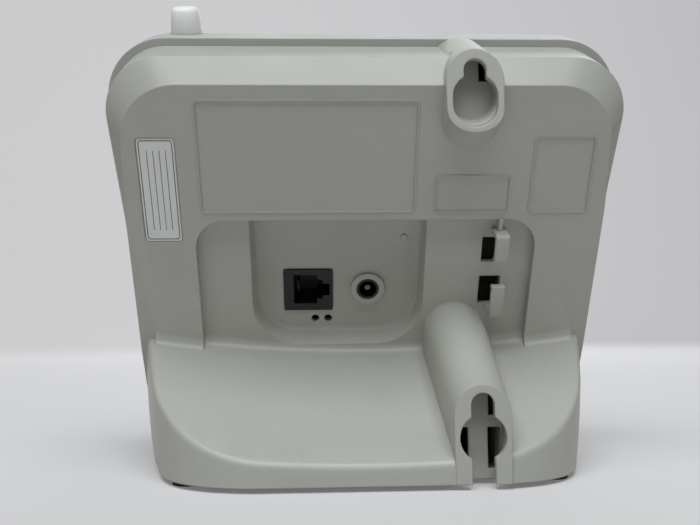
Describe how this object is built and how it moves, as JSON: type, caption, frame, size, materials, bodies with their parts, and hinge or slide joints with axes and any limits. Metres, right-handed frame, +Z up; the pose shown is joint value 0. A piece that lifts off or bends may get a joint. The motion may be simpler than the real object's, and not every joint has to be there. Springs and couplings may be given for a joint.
{
  "type": "answering machine base",
  "caption": "Upright telephone base with a digital answering machine: leaning housing with foot, handset cradle, push buttons, wall-plate bosses and two rear sockets.",
  "frame": {"origin": "middle of the footprint on the floor", "axes": "+Z up, -Y towards the user's side with the buttons, +Y towards the wall side with the sockets, +X to the user's right"},
  "size_m": [0.1738, 0.119, 0.1605],
  "materials": {
    "housing_grey": "fine moulded texture",
    "front_grey": "fine moulded texture",
    "antenna_white": "satin",
    "socket_black": "satin moulded",
    "label_white": "blank satin label",
    "foot_rubber": "matt",
    "key_grey": "satin",
    "key_blue": "satin",
    "lens_clear": "smoked clear plastic",
    "pipe_clear": "translucent",
    "contact_metal": "plated spring metal",
    "board_green": "coated laminate",
    "mat_silicone": "matt silicone",
    "display_black": "satin",
    "basket_steel": "pressed sheet",
    "cone_paper": "pressed paper",
    "magnet_iron": "ground",
    "felt_black": "felt",
    "capsule_metal": "drawn can",
    "shield_tin": "tinned sheet",
    "transformer_core": "lacquered",
    "capacitor_sleeve": "shrink sleeve",
    "chip_black": "moulded epoxy",
    "wire_copper": "tinned wire",
    "screw_steel": "zinc plated"
  },
  "bodies": {
    "root": {"rear_housing": "housing_grey", "front_housing": "front_grey", "antenna_cap": "antenna_white", "phone_jack": "socket_black", "phone_jack_contacts": "contact_metal", "power_jack": "socket_black", "power_jack_pin": "contact_metal", "label_sticker": "label_white", "rubber_feet": "foot_rubber", "display_lens": "lens_clear", "message_light_pipe": "pipe_clear", "handset_tab": "front_grey", "main_board": "board_green", "key_board": "board_green", "keypad_mat": "mat_silicone", "display_module": "display_black", "speaker_frame": "basket_steel", "speaker_cone": "cone_paper", "speaker_magnet": "magnet_iron", "speaker_ring": "felt_black", "microphone": "capsule_metal", "microphone_boot": "foot_rubber", "radio_shield": "shield_tin", "line_transformer": "transformer_core", "capacitors": "capacitor_sleeve", "processor": "chip_black", "antenna_wire": "wire_copper", "board_link": "socket_black", "board_screws": "screw_steel", "housing_screws": "screw_steel", "contact_carrier": "socket_black"},
    "play_stop_key": {"play_stop_button": "key_blue"},
    "repeat_key": {"repeat_button": "key_grey"},
    "skip_key": {"skip_button": "key_grey"},
    "delete_key": {"delete_button": "key_grey"},
    "volume_down_key": {"volume_down_button": "key_grey"},
    "volume_up_key": {"volume_up_button": "key_grey"},
    "answer_key": {"answer_button": "key_grey"},
    "find_handset_key": {"find_handset_button": "key_grey"},
    "contact_spring_left": {"charge_contact_left": "contact_metal"},
    "contact_spring_right": {"charge_contact_right": "contact_metal"}
  },
  "joints": [
    {"name": "play_stop_press", "type": "slide", "parent": "root", "child": "play_stop_key", "axis": [0, 0.8796, -0.4756], "range_m": [0, 0.0008], "stiffness_N_per_m": 600, "springref_m": -0.0008},
    {"name": "repeat_press", "type": "slide", "parent": "root", "child": "repeat_key", "axis": [0, 0.8796, -0.4756], "range_m": [0, 0.0008], "stiffness_N_per_m": 600, "springref_m": -0.0008},
    {"name": "skip_press", "type": "slide", "parent": "root", "child": "skip_key", "axis": [0, 0.8796, -0.4756], "range_m": [0, 0.0008], "stiffness_N_per_m": 600, "springref_m": -0.0008},
    {"name": "delete_press", "type": "slide", "parent": "root", "child": "delete_key", "axis": [0, 0.8796, -0.4756], "range_m": [0, 0.0008], "stiffness_N_per_m": 600, "springref_m": -0.0008},
    {"name": "volume_down_press", "type": "slide", "parent": "root", "child": "volume_down_key", "axis": [0, 0.8796, -0.4756], "range_m": [0, 0.0008], "stiffness_N_per_m": 600, "springref_m": -0.0008},
    {"name": "volume_up_press", "type": "slide", "parent": "root", "child": "volume_up_key", "axis": [0, 0.8796, -0.4756], "range_m": [0, 0.0008], "stiffness_N_per_m": 600, "springref_m": -0.0008},
    {"name": "answer_press", "type": "slide", "parent": "root", "child": "answer_key", "axis": [0, 0.8796, -0.4756], "range_m": [0, 0.0008], "stiffness_N_per_m": 600, "springref_m": -0.0008},
    {"name": "find_handset_press", "type": "slide", "parent": "root", "child": "find_handset_key", "axis": [0, 0.8796, -0.4756], "range_m": [0, 0.0008], "stiffness_N_per_m": 600, "springref_m": -0.0008},
    {"name": "contact_slide_left", "type": "slide", "parent": "root", "child": "contact_spring_left", "axis": [0, -0.4756, -0.8796], "range_m": [0, 0.0016], "stiffness_N_per_m": 250, "springref_m": -0.0016},
    {"name": "contact_slide_right", "type": "slide", "parent": "root", "child": "contact_spring_right", "axis": [0, -0.4756, -0.8796], "range_m": [0, 0.0016], "stiffness_N_per_m": 250, "springref_m": -0.0016}
  ]
}
